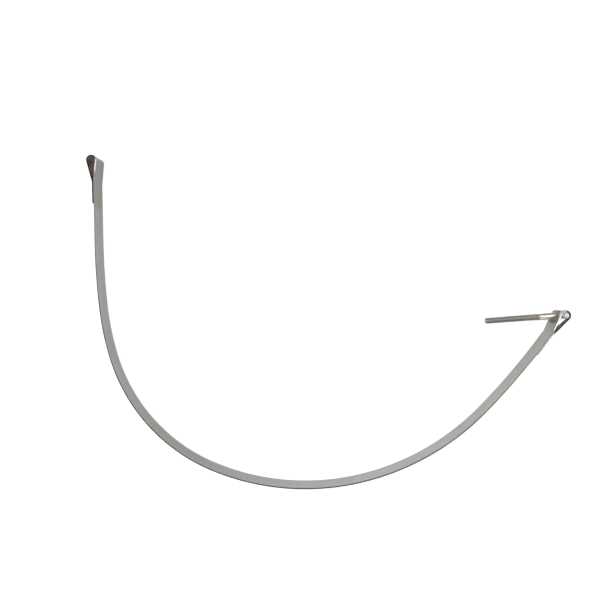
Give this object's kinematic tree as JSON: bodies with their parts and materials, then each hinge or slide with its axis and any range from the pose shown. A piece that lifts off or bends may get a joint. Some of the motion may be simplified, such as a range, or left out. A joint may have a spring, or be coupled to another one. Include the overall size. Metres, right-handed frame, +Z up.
{
  "type": "t-bolt tank strap",
  "caption": "Flat steel tensioning strap bent to an open U, with a plain folded eye at one end and a swinging threaded T-bolt in a slotted folded eye at the other.",
  "frame": {"origin": "centre of the bounding box, on the surface that the strap's long edge stands on", "axes": "+X along the longest side of the open U, from the plain eye towards the T-bolt; +Y from the closed bottom of the U towards its open side; +Z up, along the strip's width"},
  "size_m": [0.737, 0.5082, 0.04],
  "materials": {
    "strap_steel": "mill-rolled stainless strip, satin, with a fine grain along the strip",
    "bolt_steel": "turned stainless bar, bright",
    "stud_steel": "bright plain shank, rolled thread with darker flanks",
    "weld_steel": "weld bead with a heat tint, rough"
  },
  "bodies": {
    "strap": {"strap_band": "strap_steel"},
    "t_bolt": {"cross_pin": "bolt_steel", "threaded_stud": "stud_steel", "stud_weld": "weld_steel"}
  },
  "joints": [
    {"name": "t_bolt_swing", "type": "hinge", "parent": "strap", "child": "t_bolt", "pos_m": [0.36137, 0.00924, 0.02], "axis": [0, 0, 1], "range_deg": [-280, 14]}
  ]
}
